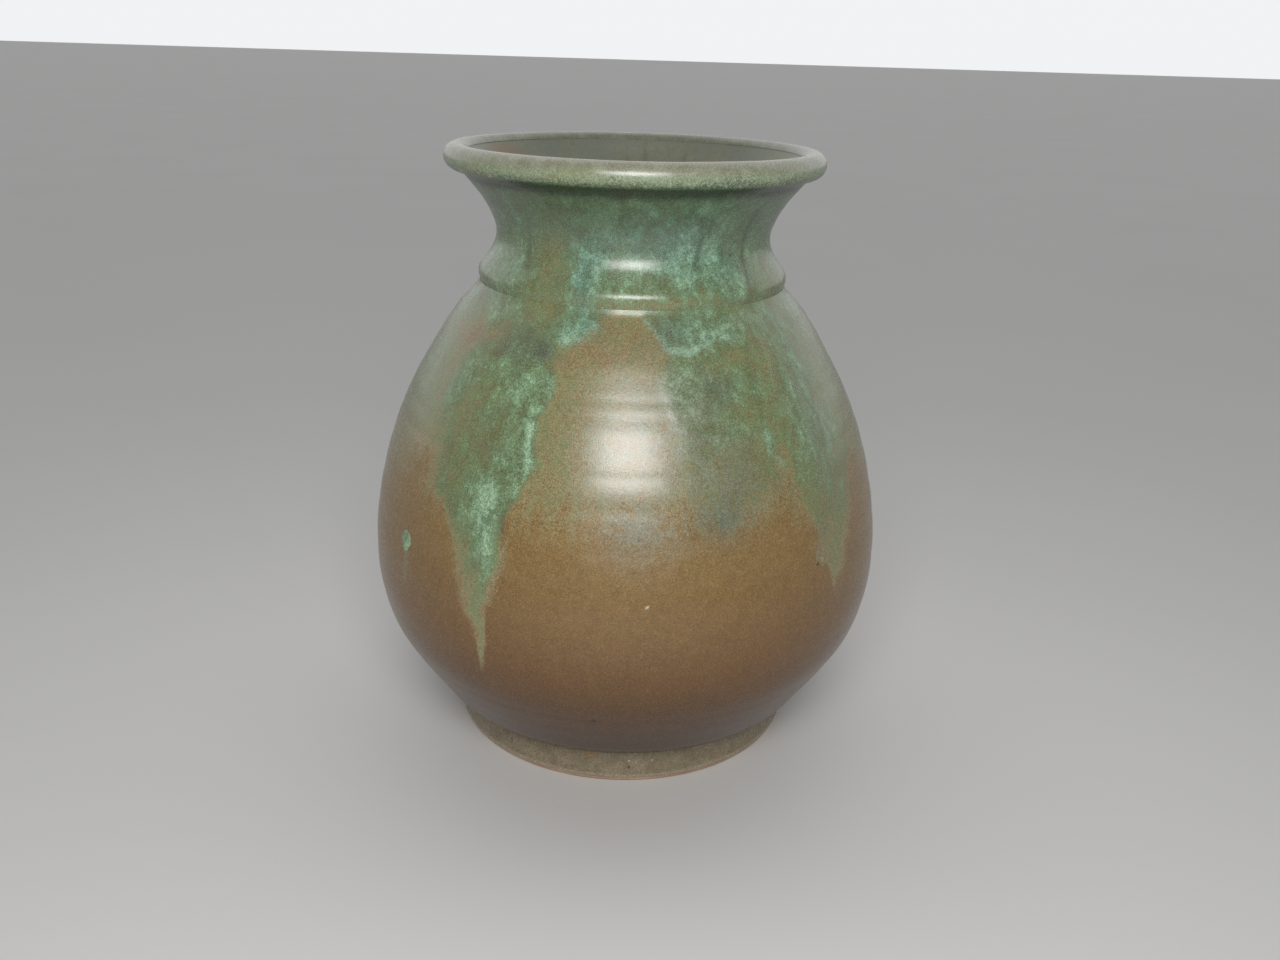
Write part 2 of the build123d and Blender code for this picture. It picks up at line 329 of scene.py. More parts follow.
def arc_line(centre, radius, start, end, count):
    """Points on an arc, from one angle to another, in degrees."""
    a = np.radians(np.linspace(start, end, count))
    return np.column_stack([centre[0] + radius * np.cos(a), centre[1] + radius * np.sin(a)])


def normals_of(line):
    """Unit vectors to the left of a line's run."""
    along = np.gradient(line, axis=0)
    along /= np.hypot(*along.T)[:, None]
    return np.column_stack([-along[:, 1], along[:, 0]])


def shell_of(face, depth, thin_out=10):
    """A closed outline: a face line, and a coarser line at a depth to its left."""
    kept = sorted({*range(0, len(face), thin_out), len(face) - 1})
    inner = (face + normals_of(face) * depth)[kept]
    return np.vstack([face, inner[::-1]])


def up_to(line, corner):
    """Where a line passes a corner point."""
    return int(np.argmin(np.hypot(*(line - np.array(corner)).T)))


# ---- the turned pieces ----------------------------------------------------------------
def deselect():
    """Leaves edit mode and lets go of everything."""
    if bpy.context.object and bpy.context.object.mode != "OBJECT":
        bpy.ops.object.mode_set(mode="OBJECT")
    bpy.ops.object.select_all(action="DESELECT")


def drawn(name, outline):
    """A closed outline of (radius, height) points, drawn by extruding from each to the next."""
    deselect()
    bpy.ops.mesh.primitive_plane_add(size=MM)
    piece = bpy.context.object
    piece.name = name
    piece.data.name = name
    bpy.ops.object.mode_set(mode="EDIT")
    bpy.ops.mesh.merge(type="CENTER")
    corners = [Vector((radius, 0.0, height)) * MM for radius, height in outline]
    bpy.ops.transform.translate(value=corners[0])
    for here, following in zip(corners, corners[1:] + corners[:1]):
        bpy.ops.mesh.extrude_region_move(TRANSFORM_OT_translate={"value": following - here})
    bpy.ops.mesh.select_all(action="SELECT")
    bpy.ops.mesh.remove_doubles(threshold=MERGED)
    bpy.ops.object.mode_set(mode="OBJECT")
    return piece


def turned(name, outline, steps):
    """Turns an outline of (radius, height) points, in millimetres, about the axis."""
    piece = drawn(name, outline)
    turn = piece.modifiers.new("turn", "SCREW")
    turn.axis = "Z"
    turn.angle = 2 * math.pi
    turn.steps = steps
    turn.render_steps = steps
    turn.use_merge_vertices = True
    turn.merge_threshold = MERGED
    bpy.ops.object.modifier_apply(modifier="turn")
    bpy.ops.object.mode_set(mode="EDIT")
    bpy.ops.mesh.select_all(action="SELECT")
    bpy.ops.mesh.remove_doubles(threshold=MERGED)
    bpy.ops.mesh.normals_make_consistent(inside=False)
    bpy.ops.object.mode_set(mode="OBJECT")
    bpy.ops.object.shade_smooth_by_angle(angle=SMOOTH_UNDER)
    return piece


def places(piece):
    """Each vertex's radius and height in millimetres, and direction in degrees."""
    co = np.empty(len(piece.data.vertices) * 3)
    piece.data.vertices.foreach_get("co", co)
    x, y, z = co.reshape(-1, 3).T / MM
    return np.hypot(x, y), z, np.degrees(np.arctan2(x, -y))


def on_face(piece, outline, face_count):
    """True where a vertex is on the outline's first points, the side that shows."""
    tree = KDTree(len(outline))
    for index, (radius, height) in enumerate(outline):
        tree.insert((radius, height, 0), index)
    tree.balance()
    radius, height, _ = places(piece)
    near = [tree.find((r, h, 0))[1] for r, h in zip(radius, height)]
    return np.array(near) < face_count


def around(direction, centre):
    """Degrees from a centre, the short way round."""
    return (direction - centre + 180) % 360 - 180


def soft_step(low, high, value):
    """0 below low and 1 above high, with a smooth rise between them."""
    t = np.clip((value - low) / (high - low), 0, 1)
    return t * t * (3 - 2 * t)


def patches(spots, radius, height, direction):
    """The sum of soft round patches."""
    total = np.zeros_like(height)
    for centre, level, half_width, half_height, strength in spots:
        across = np.radians(around(direction, centre)) * radius / half_width
        up = (height - level) / half_height
        total += strength * np.exp(-(across ** 2 + up ** 2))
    return np.clip(total, 0, 1)


def dots(spots, radius, height, direction):
    """Small round spots with a firm edge: 1 in the middle and 0 at the radius."""
    total = np.zeros_like(height)
    for centre, level, size in spots:
        across = np.radians(around(direction, centre)) * radius
        total = np.maximum(total, 1 - np.hypot(across, height - level) / size)
    return np.clip(total, 0, 1)


def lines(paths, radius, height, direction):
    """Soft strokes along bent lines."""
    total = np.zeros_like(height)
    for half_width, strength, path in paths:
        for (first, low), (second, high) in zip(path, path[1:]):
            x = np.radians(around(direction, first)) * radius
            run = np.radians(around(second, first)) * radius
            rise = high - low
            t = np.clip((x * run + (height - low) * rise) / (run ** 2 + rise ** 2), 0, 1)
            away = np.hypot(x - t * run, height - low - t * rise)
            total = np.maximum(total, strength * np.exp(-(away / half_width) ** 2))
    return total


def tongues(runs, radius, height, direction):
    """The greatest amount of glaze in any of the runs."""
    total = np.zeros_like(height)
    for amount, soft_left, soft_right, edges in runs:
        levels, left, right = np.array(edges[::-1], float).T
        low = np.interp(height, levels, left)
        high = np.interp(height, levels, right)
        middle = around(direction, (low + high) / 2)
        half = (high - low) / 2
        width = np.radians(2 * half) * radius
        from_left = np.radians(half + middle) * radius
        from_right = np.radians(half - middle) * radius
        here = amount * soft_step(0, 1, from_left / np.minimum(soft_left, 0.6 * width))
        here *= soft_step(0, 1, from_right / np.minimum(soft_right, 0.6 * width))
        here *= 0.65 + 0.35 * soft_step(levels[0] + 20, levels[0] + 65, height)
        here *= soft_step(levels[0], levels[0] + 12, height)
        total = np.maximum(total, here)
    return total


def green_amount(radius, height, direction):
    """How much green glaze there is: 0 is none and 1 is the thickest."""
    at, level, soft = np.array(POUR_EDGE, float).T
    at = np.append(at, at[0] + 360)
    edge = np.interp(direction, at, np.append(level, level[0]))
    blur = np.interp(direction, at, np.append(soft, soft[0]))
    coat = 0.60 * soft_step(-0.5, 0.5, (height - edge) / blur)
    turns, hazes = np.array(HAZE, float).T
    haze = np.interp(direction, np.append(turns, 180), np.append(hazes, hazes[0]))
    haze = (np.minimum(haze, THIN_HAZE) * soft_step(*HAZE_EDGE, height)
            + np.maximum(haze - THIN_HAZE, 0) * soft_step(*HAZE_TOP, height))
    amount = np.maximum(coat, haze)
    amount = np.maximum(amount, tongues(RUNS, radius, height, direction))
    amount = np.maximum(amount, tongues(WASHES, radius, height, direction))
    amount += 0.33 * patches(PALE_PATCHES, radius, height, direction)
    amount -= 0.20 * patches(OLIVE_PATCHES, radius, height, direction)
    amount += 0.20 * lines(MINT_LINES, radius, height, direction)
    thin = patches(OCHRE_PATCHES, radius, height, direction)
    return np.clip(amount + (0.30 - amount) * thin * soft_step(0.1, 0.3, amount), 0, 1.1)


def mark_height(height, direction):
    """How far the throwing marks stand proud, in millimetres."""
    turn = np.radians(direction)
    total = np.zeros_like(height)
    for number, (level, half_width, depth, tilt) in enumerate(THROWING_MARKS):
        wander = level + tilt * np.sin(turn + number) + 0.3 * np.sin(3 * turn + 2 * number)
        total += depth * np.exp(-((height - wander) / half_width) ** 2)
    return total


def wandered(radius, height, direction):
    """Places shifted a little, so that the edges of the glaze wander."""
    turn = np.radians(direction)
    spots = np.column_stack([radius * np.sin(turn), -radius * np.cos(turn), 0.6 * height])
    shift = np.array([noise.noise_vector(spot / 11) * 3.5 + noise.noise_vector(spot / 4) * 1.5
                      for spot in map(Vector, spots)])
    return radius, height + shift[:, 1], direction + np.degrees(shift[:, 0] / radius)


def write_values(piece, name, values):
    """Keeps one value for each vertex, for the material to read by name."""
    attribute = piece.data.attributes.new(name, "FLOAT", "POINT")
    attribute.data.foreach_set("value", values.astype(np.float32))


def glaze_layout(piece, facing):
    """Writes how the glaze lies on a piece as attributes, and returns its thickness."""
    radius, height, direction = places(piece)
    where = wandered(radius, height, direction)
    layout = {
        "green": green_amount(*where),
        "teal": patches(TEAL_PATCHES, *where),
        "slate": patches(SLATE_PATCHES, *where),
        "warm": patches(WARM_PATCHES, *where),
        "streak": patches(DARK_STREAKS, *where),
        "veil_and_sheen": patches(VEILS_AND_SHEEN, *where),
        "mint_line": lines(MINT_LINES, *where),
        "pit": dots(PITS, radius, height, direction),
        "fleck": dots(CREAM_FLECKS, radius, height, direction),
        "rust": dots(RUST_SPOTS, *where),
        "rim_break": patches(RIM_BREAKS, *where),
        "rim_olive": patches(RIM_OLIVES, *where),
    }
    for name, values in layout.items():
        write_values(piece, name, values)
    thick = RUN_RISE * soft_step(0.25, 0.85, layout["green"]) + LINE_RISE * layout["mint_line"]
    thick += FLECK_RISE * layout["fleck"] + RUST_RISE * layout["rust"] - PIT_DEPTH * layout["pit"]
    thick += mark_height(height, direction)
    return thick * facing * soft_step(0, 2, np.abs(height - GROOVE[1]))


def raise_surface(piece, amount):
    """Lifts the surface along its normals by an amount in millimetres for each vertex."""
    low = float(amount.min())
    span = float(amount.max()) - low
    group = piece.vertex_groups.new(name="relief")
    weights = np.round((amount - low) / span * 600) / 600
    for weight in np.unique(weights):
        members = np.nonzero(weights == weight)[0].tolist()
        group.add(members, float(weight), "REPLACE")
    lift = piece.modifiers.new("relief", "DISPLACE")
    lift.direction = "NORMAL"
    lift.vertex_group = "relief"
    lift.mid_level = 0.0
    lift.strength = span * MM
    deselect()
    bpy.context.view_layer.objects.active = piece
    piece.select_set(True)
    bpy.ops.object.modifier_apply(modifier="relief")
    piece.vertex_groups.remove(piece.vertex_groups["relief"])


# ---- node helpers ---------------------------------------------------------------------
def new_material(name):
    """An empty material and its node tree."""
    material = bpy.data.materials.new(name)
    material.use_nodes = True
    tree = material.node_tree
    tree.nodes.clear()
    return material, tree


def node(tree, kind, inputs=None, **settings):
    """A node with its settings, and its inputs set to values or linked to sockets."""
    made = tree.nodes.new(kind)
    for key, value in settings.items():
        setattr(made, key, value)
    for key, value in (inputs or {}).items():
        if isinstance(value, bpy.types.NodeSocket):
            tree.links.new(value, made.inputs[key])
        else:
            made.inputs[key].default_value = value
    return made


def calc(tree, operation, a, b=0.0, clamp=False):
    """One sum of two values or sockets."""
    made = node(tree, "ShaderNodeMath", {0: a, 1: b}, operation=operation, use_clamp=clamp)
    return made.outputs[0]


def between(tree, value, low, high):
    """0 below low and 1 above high, with a soft step between them."""
    made = node(tree, "ShaderNodeMapRange", {"Value": value, "From Min": low, "From Max": high},
                interpolation_type="SMOOTHSTEP")
    return made.outputs["Result"]


def band(tree, height, low, high):
    """Like between, for a height in metres and limits in millimetres."""
    return between(tree, height, low * MM, high * MM)


def mixed(tree, factor, a, b, kind="MIX"):
    """Two colours mixed by a factor."""
    made = node(tree, "ShaderNodeMix", {0: factor, 6: a, 7: b}, data_type="RGBA",
                blend_type=kind)
    return made.outputs[2]


def grain(tree, vector, size, detail=2.0, roughness=0.5, distortion=0.0):
    """Noise from 0 to 1 with features of a size in millimetres."""
    made = node(tree, "ShaderNodeTexNoise",
                {"Vector": vector, "Scale": 1 / (size * MM), "Detail": detail,
                 "Roughness": roughness, "Distortion": distortion})
    return made.outputs["Fac"]


def swing(tree, value, reach):
    """Noise as a swing either side of 0."""
    return calc(tree, "MULTIPLY", calc(tree, "SUBTRACT", value, 0.5), reach)


def ramp(tree, value, stops):
    """A run of colours from a list of (position, colour) stops."""
    made = node(tree, "ShaderNodeValToRGB", {"Fac": value})
    elements = made.color_ramp.elements
    while len(elements) < len(stops):
        elements.new(0.5)
    for element, (position, shade) in zip(elements, stops):
        element.position = position
        element.color = (*shade, 1.0)
    return made.outputs["Color"]


def stretched(tree, vector, scale):
    """The same place with its axes scaled, to draw a pattern out."""
    made = node(tree, "ShaderNodeMapping", {"Vector": vector, "Scale": scale})
    return made.outputs[0]


def painted(tree, name):
    """A value that the layout wrote on the piece."""
    return node(tree, "ShaderNodeAttribute", attribute_name=name).outputs["Fac"]


def bumped(tree, height, distance, strength, normal=None):
    """A normal with a bump on it, its depth in millimetres."""
    inputs = {"Height": height, "Distance": distance * MM, "Strength": strength}
    if normal is not None:
        inputs["Normal"] = normal
    return node(tree, "ShaderNodeBump", inputs).outputs[0]


def surface(tree, colour, roughness, normal, **constants):
    """Joins the shader, with its constants, to the material's output."""
    shader = node(tree, "ShaderNodeBsdfPrincipled",
                  {"Base Color": colour, "Roughness": roughness, "Normal": normal})
    for key, value in constants.items():
        shader.inputs[key.replace("_", " ")].default_value = value
    node(tree, "ShaderNodeOutputMaterial", {"Surface": shader.outputs[0]})


def colour(red, green, blue):
    """A linear colour with full cover."""
    return (red, green, blue, 1.0)


def from_axis(tree, spot):
    """The distance of a place from the axis of the pot."""
    flat = node(tree, "ShaderNodeVectorMath", {0: spot, 1: (1.0, 1.0, 0.0)},
                operation="MULTIPLY").outputs[0]
    return node(tree, "ShaderNodeVectorMath", {0: flat}, operation="LENGTH").outputs["Value"]


# ---- glazes ---------------------------------------------------------------------------
def glaze_grains(tree):
    """Where a point is, and the grains that the tints of the poured glaze share."""
    spot = node(tree, "ShaderNodeTexCoord").outputs["Object"]
    return SimpleNamespace(
        spot=spot,
        height=node(tree, "ShaderNodeSeparateXYZ", {0: spot}).outputs["Z"],
        cloud=grain(tree, spot, 5, 4, 0.6, 0.6),
        curl=grain(tree, spot, 0.95, 3, 0.65, 1.6),
        fine=grain(tree, spot, 0.45, 2, 0.6),
        drawn=grain(tree, stretched(tree, spot, (1, 1, 0.2)), 2.4, 3, 0.6, 0.3),
        flow=grain(tree, stretched(tree, spot, (1, 1, 0.16)), 6, 3, 0.6, 0.8))


def brown_coat(tree, at):
    """Brown base glaze: tan on the belly, darker and redder towards the foot."""
    tan = ramp(tree, calc(tree, "DIVIDE", at.height, TAN_HEIGHT * MM), [
        (0.22, (0.060, 0.024, 0.007)), (0.38, (0.105, 0.047, 0.012)),
        (0.58, (0.175, 0.085, 0.022)), (0.75, (0.222, 0.124, 0.038)),
        (0.94, (0.272, 0.172, 0.063))])
    return mixed(tree, between(tree, at.cloud, 0.35, 0.68), tan, colour(1.12, 1.15, 1.20),
                 "MULTIPLY")


def green_coat(tree, at):
    """Green glaze by thickness: honey and olive where it is thin, mint where it is thick."""
    uneven = calc(tree, "ADD", calc(tree, "ADD", swing(tree, at.cloud, 0.45),
                                    swing(tree, at.flow, 0.42)),
                  calc(tree, "ADD", swing(tree, at.curl, 0.65), swing(tree, at.drawn, 0.45)))
    amount = calc(tree, "ADD", painted(tree, "green"), uneven)
    by_thickness = ramp(tree, amount, [
        (0.02, (0.275, 0.168, 0.062)), (0.16, (0.300, 0.215, 0.092)),
        (0.28, (0.315, 0.272, 0.138)), (0.40, (0.250, 0.252, 0.118)),
        (0.52, (0.205, 0.245, 0.118)), (0.64, (0.190, 0.268, 0.142)),
        (0.80, (0.250, 0.380, 0.225)), (1.00, (0.400, 0.570, 0.380))])
    blue_tone = ramp(tree, amount, [
        (0.30, (0.130, 0.175, 0.125)), (0.60, (0.150, 0.260, 0.195)),
        (0.80, (0.225, 0.395, 0.310)), (1.00, (0.340, 0.550, 0.440))])
    blue = calc(tree, "MULTIPLY", painted(tree, "teal"),
                calc(tree, "ADD", 0.45, calc(tree, "MULTIPLY", at.drawn, 0.9)), True)
    return mixed(tree, calc(tree, "MULTIPLY", blue, 0.8), by_thickness, blue_tone)


def clouded(tree, at, skin):
    """Rust, milk with some painted sheen, pooled mint, slate and iron lines, where the layout
    puts them.
    """
    warm = calc(tree, "MULTIPLY", painted(tree, "warm"), between(tree, at.cloud, 0.34, 0.58))
    skin = mixed(tree, calc(tree, "MULTIPLY", warm, 0.7), skin, colour(0.285, 0.165, 0.085))

    # milky grey glaze, with painted sheen over the highlight at the front
    veil_and_sheen = calc(tree, "MULTIPLY", painted(tree, "veil_and_sheen"), between(tree, at.cloud, 0.30, 0.60))
    skin = mixed(tree, calc(tree, "MULTIPLY", veil_and_sheen, 0.85), skin, colour(0.270, 0.270, 0.200))

    pooled = calc(tree, "MULTIPLY", painted(tree, "mint_line"),
                  between(tree, at.curl, 0.30, 0.50))
    skin = mixed(tree, calc(tree, "MULTIPLY", pooled, 0.7), skin, colour(0.36, 0.54, 0.40))

    slate = calc(tree, "MULTIPLY", painted(tree, "slate"),
                 calc(tree, "ADD", 0.4, calc(tree, "MULTIPLY", at.cloud, 0.9)), True)
    skin = mixed(tree, calc(tree, "MULTIPLY", slate, 0.8), skin, colour(0.118, 0.130, 0.105))

    streak = calc(tree, "MULTIPLY", painted(tree, "streak"), between(tree, at.curl, 0.30, 0.55))
    return mixed(tree, calc(tree, "MULTIPLY", streak, 0.8), skin, colour(0.050, 0.048, 0.038))


def rim_coat(tree, at, skin, rim, inner):
    """Rolled rim: sage below, beige-grey above, a dark speckle with painted shade on its
    underside, broken dark in places, rosy at the crest.
    """
    sage = mixed(tree, between(tree, at.curl, 0.34, 0.62), colour(0.225, 0.285, 0.175),
                 colour(0.335, 0.395, 0.265))
    beige = mixed(tree, between(tree, at.cloud, 0.36, 0.62), colour(0.285, 0.280, 0.205),
                  colour(0.325, 0.325, 0.245))
    coat = mixed(tree, band(tree, at.height, RIM_LOW + 4.2, RIM_LOW + 6.8), sage, beige)
    coat = mixed(tree, calc(tree, "MULTIPLY", painted(tree, "rim_olive"), 0.8), coat,
                 colour(0.230, 0.240, 0.110))
    skin = mixed(tree, calc(tree, "MULTIPLY", rim, 0.9), skin, coat)

    # dark speckle on the roll's underside, which is also painted shade under the roll
    under = calc(tree, "MULTIPLY", band(tree, at.height, RIM_LOW - 0.5, RIM_LOW + 1.2),
                 band(tree, at.height, RIM_LOW + 4.2, RIM_LOW + 1.6))
    under = calc(tree, "MULTIPLY", under, between(tree, at.curl, 0.62, 0.42))
    skin = mixed(tree, calc(tree, "MULTIPLY", under, 0.65), skin, colour(0.060, 0.075, 0.045))
    broken = calc(tree, "MULTIPLY", painted(tree, "rim_break"),
                  between(tree, at.curl, 0.56, 0.44))
    skin = mixed(tree, broken, skin, colour(0.085, 0.090, 0.065))

    crest = band(tree, at.height, VASE_HEIGHT - 0.4, VASE_HEIGHT - 0.1)
    skin = mixed(tree, calc(tree, "MULTIPLY", crest, 0.4), skin, colour(0.350, 0.300, 0.235))
    like_liner = mixed(tree, between(tree, at.cloud, 0.36, 0.62), colour(0.240, 0.245, 0.180),
                       colour(0.280, 0.285, 0.215))
    return mixed(tree, inner, skin, like_liner)


def foot_coat(tree, at, skin):
    """Foot: thin olive-grey glaze, paler to its lower edge."""
    foot = band(tree, at.height, FOOT_HEIGHT + 1.2, FOOT_HEIGHT - 0.8)
    coat = mixed(tree, between(tree, at.cloud, 0.36, 0.62), colour(0.225, 0.178, 0.104),
                 colour(0.290, 0.236, 0.150))
    skin = mixed(tree, foot, skin, coat)
    hem = band(tree, at.height, BARE_EDGE + 2.0, BARE_EDGE + 0.3)
    return mixed(tree, calc(tree, "MULTIPLY", hem, 0.7), skin, colour(0.46, 0.38, 0.28))


def spotted(tree, at, skin):
    """Pin holes, pale flecks, and orange blisters with ragged edges."""
    skin = mixed(tree, between(tree, painted(tree, "pit"), 0.25, 0.6), skin,
                 colour(0.030, 0.018, 0.012))
    skin = mixed(tree, between(tree, painted(tree, "fleck"), 0.3, 0.6), skin,
                 colour(0.55, 0.50, 0.38))
    ragged = between(tree, calc(tree, "ADD", painted(tree, "rust"), swing(tree, at.curl, 1.2)),
                     0.15, 0.45)
    blister = calc(tree, "MULTIPLY", ragged, between(tree, painted(tree, "rust"), 0.0, 0.1))
    return mixed(tree, blister, skin, colour(0.40, 0.20, 0.060))


def painted_shade_under_rim(tree, at, skin):
    """Painted shade: darker green high on the neck, and a painted shadow, darkest, in the crease
    under the rolled rim.
    """
    # painted shade high on the neck, where the flare turns down
    painted_neck_shade = calc(tree, "MULTIPLY", band(tree, at.height, *NECK_PAINTED_SHADE),
                  band(tree, at.height, *NECK_PAINTED_SHADE_END))
    skin = mixed(tree, calc(tree, "MULTIPLY", painted_neck_shade, 0.55), skin, colour(0.036, 0.080, 0.052))
    # painted shadow of the rolled rim in the crease under it
    crease = calc(tree, "MULTIPLY", band(tree, at.height, *CREASE_PAINTED_SHADOW),
                  band(tree, at.height, *CREASE_PAINTED_SHADOW_END))
    return mixed(tree, calc(tree, "MULTIPLY", crease, 0.8), skin, colour(0.020, 0.030, 0.020))


def grained(tree, at, skin, rim, inner):
    """Curled light and dark grain, calmer on the rim, and fine dark specks."""
    on_wall = calc(tree, "SUBTRACT", 1.0, calc(tree, "MULTIPLY", rim, 0.75))
    coated = calc(tree, "MULTIPLY", between(tree, painted(tree, "green"), 0.25, 0.55), on_wall)
    broken = calc(tree, "MULTIPLY", coated,
                  calc(tree, "ADD", swing(tree, at.flow, 0.7), swing(tree, at.cloud, 0.8)))
    grainy = calc(tree, "ADD", swing(tree, at.curl, 1.4), swing(tree, at.fine, 1.4))
    calmed = calc(tree, "SUBTRACT", 1.0, calc(tree, "ADD", calc(tree, "MULTIPLY", rim, 0.40),
                                              calc(tree, "MULTIPLY", inner, 0.35)))
    light = calc(tree, "ADD", calc(tree, "ADD", 1.0, broken),
                 calc(tree, "MULTIPLY", grainy, calmed))
    skin = mixed(tree, 1.0, skin, light, "MULTIPLY")
    specks = calc(tree, "MULTIPLY", between(tree, at.fine, 0.35, 0.27), 0.30)
    return mixed(tree, specks, skin, colour(0.045, 0.035, 0.020))


def poured_glaze():
    """Brown base glaze with the copper green coat that was poured over it."""
    material, tree = new_material("poured_copper_glaze")
    at = glaze_grains(tree)
    skin = mixed(tree, between(tree, painted(tree, "green"), 0.0, 0.2), brown_coat(tree, at),
                 green_coat(tree, at))
    skin = clouded(tree, at, skin)

    rim = band(tree, at.height, RIM_LOW + 0.8, RIM_LOW + 3.0)
    inner = calc(tree, "MULTIPLY",
                 band(tree, from_axis(tree, at.spot), RIM_RADIUS + 1.0, RIM_RADIUS - 1.5),
                 band(tree, at.height, RIM_HEIGHT - 1.0, RIM_HEIGHT))
    skin = rim_coat(tree, at, skin, rim, inner)
    skin = foot_coat(tree, at, skin)
    skin = spotted(tree, at, skin)
    # painted shade on the neck and painted shadow under the rim
    skin = painted_shade_under_rim(tree, at, skin)
    skin = grained(tree, at, skin, rim, inner)

    roughness = calc(tree, "ADD", 0.10, calc(tree, "ADD", calc(tree, "MULTIPLY", at.curl, 0.14),
                                                 calc(tree, "MULTIPLY", at.fine, 0.18)))
    tooth = bumped(tree, at.fine, 0.06, 0.5)
    pebble = bumped(tree, at.curl, 0.08, 0.4, tooth)
    swell = bumped(tree, at.cloud, 0.25, 0.25, pebble)
    surface(tree, skin, roughness, swell, IOR=1.68)
    return material


def liner_glaze():
    """Grey-green glaze inside the pot."""
    material, tree = new_material("grey_green_liner_glaze")
    spot = node(tree, "ShaderNodeTexCoord").outputs["Object"]
    height = node(tree, "ShaderNodeSeparateXYZ", {0: spot}).outputs["Z"]
    broad = grain(tree, spot, 22, 3, 0.55, 0.4)
    curl = grain(tree, spot, 1.5, 3, 0.62, 1.2)
    fine = grain(tree, spot, 0.7, 2, 0.6)
    grey = mixed(tree, between(tree, curl, 0.30, 0.66), colour(0.225, 0.235, 0.165),
                 colour(0.275, 0.285, 0.210))
    cool = mixed(tree, calc(tree, "MULTIPLY", between(tree, broad, 0.40, 0.70), 0.5), grey,
                 colour(0.235, 0.255, 0.225))
    warm = mixed(tree, calc(tree, "MULTIPLY", between(tree, broad, 0.48, 0.25), 0.4), cool,
                 colour(0.255, 0.240, 0.155))
    brown = mixed(tree, between(tree, calc(tree, "ADD", painted(tree, "bare_patch"),
                                           swing(tree, curl, 0.5)), 0.25, 0.60),
                  warm, colour(0.265, 0.205, 0.130))
    lined = mixed(tree, calc(tree, "MULTIPLY", painted(tree, "streak"), 0.7), brown,
                  colour(0.060, 0.055, 0.045))
    deep = mixed(tree, band(tree, height, 190, 100), lined, colour(0.200, 0.165, 0.105))
    roughness = calc(tree, "ADD", 0.26, calc(tree, "MULTIPLY", curl, 0.15))
    rings = calc(tree, "SINE", calc(tree, "ADD", calc(tree, "MULTIPLY", height, THROWING_RATE),
                                    calc(tree, "MULTIPLY", broad, 6.0)))
    normal = bumped(tree, curl, 0.08, 0.3, bumped(tree, fine, 0.05, 0.3))
    surface(tree, deep, roughness, bumped(tree, rings, 0.15, 0.2, normal), IOR=1.6)
    return material


def bare_clay():
    """Unglazed buff stoneware with dark grog and turning lines."""
    material, tree = new_material("bare_buff_stoneware")
    spot = node(tree, "ShaderNodeTexCoord").outputs["Object"]
    broad = grain(tree, spot, 18, 3, 0.6)
    grit = grain(tree, spot, 0.9, 2, 0.6)
    speck = grain(tree, spot, 2.2, 1, 0.5)
    clay = mixed(tree, between(tree, broad, 0.35, 0.65), colour(0.46, 0.30, 0.19),
                 colour(0.56, 0.40, 0.27))
    clay = mixed(tree, calc(tree, "MULTIPLY", between(tree, grit, 0.45, 0.62), 0.35), clay,
                 colour(0.64, 0.50, 0.37))
    clay = mixed(tree, between(tree, speck, 0.70, 0.76), clay, colour(0.16, 0.085, 0.045))
    rings = calc(tree, "MULTIPLY", from_axis(tree, spot), TURNING_RATE)
    turning = calc(tree, "SINE", calc(tree, "ADD", rings, calc(tree, "MULTIPLY", broad, 5.0)))
    normal = bumped(tree, turning, 0.12, 0.3, bumped(tree, grit, 0.12, 0.6))
    surface(tree, clay, 0.85, normal, IOR=1.45)
    return material


# ---- pieces ---------------------------------------------------------------------------
def foot_and_turn():
    """The glazed side of the foot, the corner above it, and the turn out to the belly."""
    lower_edge = [(FOOT_LOW_RADIUS - 0.35, BARE_EDGE + 0.03),
                  (FOOT_LOW_RADIUS - 0.08, BARE_EDGE + 0.2)]
    side = np.linspace((FOOT_LOW_RADIUS, BARE_EDGE + 0.5),
                       (FOOT_TOP_RADIUS, FOOT_HEIGHT - 1.2), 13)
    corner = arc_line((FOOT_TOP_RADIUS + 1.0, FOOT_HEIGHT - 0.9), 0.95, 172, 94, 6)
    turn = smooth_line([(71.8, FOOT_HEIGHT + 0.12), (75.4, 16.9), (78.4, 19.0), BELLY_START],
                       TURN_STEP)
    return np.vstack([lower_edge, side, corner, turn[:-1]])


def belly_line():
    """The outside from the bare edge of the foot up to the groove."""
    wall = smooth_line(WALL_POINTS, WALL_STEP)
    return np.vstack([foot_and_turn(), wall[:up_to(wall, GROOVE) + 1]])


def collar_line():
    """The outside from the groove over the rolled rim to the lip."""
    wall = smooth_line(WALL_POINTS, COLLAR_STEP)
    roll = arc_line((RIM_RADIUS, RIM_HEIGHT), RIM_ROLL, RIM_UNDER_ANGLE + 8, RIM_LIP_ANGLE, 44)
    return np.vstack([belly_line()[-1], wall[up_to(wall, GROOVE) + 1:-1], roll])


def poured(name, face):
    """A coat of glaze on the outside, with the throwing marks and runs raised on it."""
    outline = shell_of(face, SHELL)
    piece = turned(name, outline, GLAZE_COLUMNS)
    facing = on_face(piece, outline, len(face)).astype(float)
    raise_surface(piece, glaze_layout(piece, facing))
    return piece


def inside_lining():
    """The glaze inside, down the wall and over the floor."""
    bore = smooth_line(BORE_POINTS, BORE_STEP)
    side = bore - normals_of(bore) * LINER_COAT
    middle = (0.0, FLOOR_HEIGHT + LINER_COAT)
    floor = np.linspace(side[-1], (0.6, FLOOR_HEIGHT + LINER_COAT), 12)[1:]
    back = np.vstack([bore[::4], [FLOOR_EDGE, (0.0, FLOOR_HEIGHT)]])
    lining = turned("inside_glaze", np.vstack([side, floor, [middle], back[::-1]]),
                    LINING_COLUMNS)
    place = places(lining)
    write_values(lining, "bare_patch", patches(LINING_BARE, *place))
    write_values(lining, "streak", patches(LINING_STREAKS, *place))
    return lining


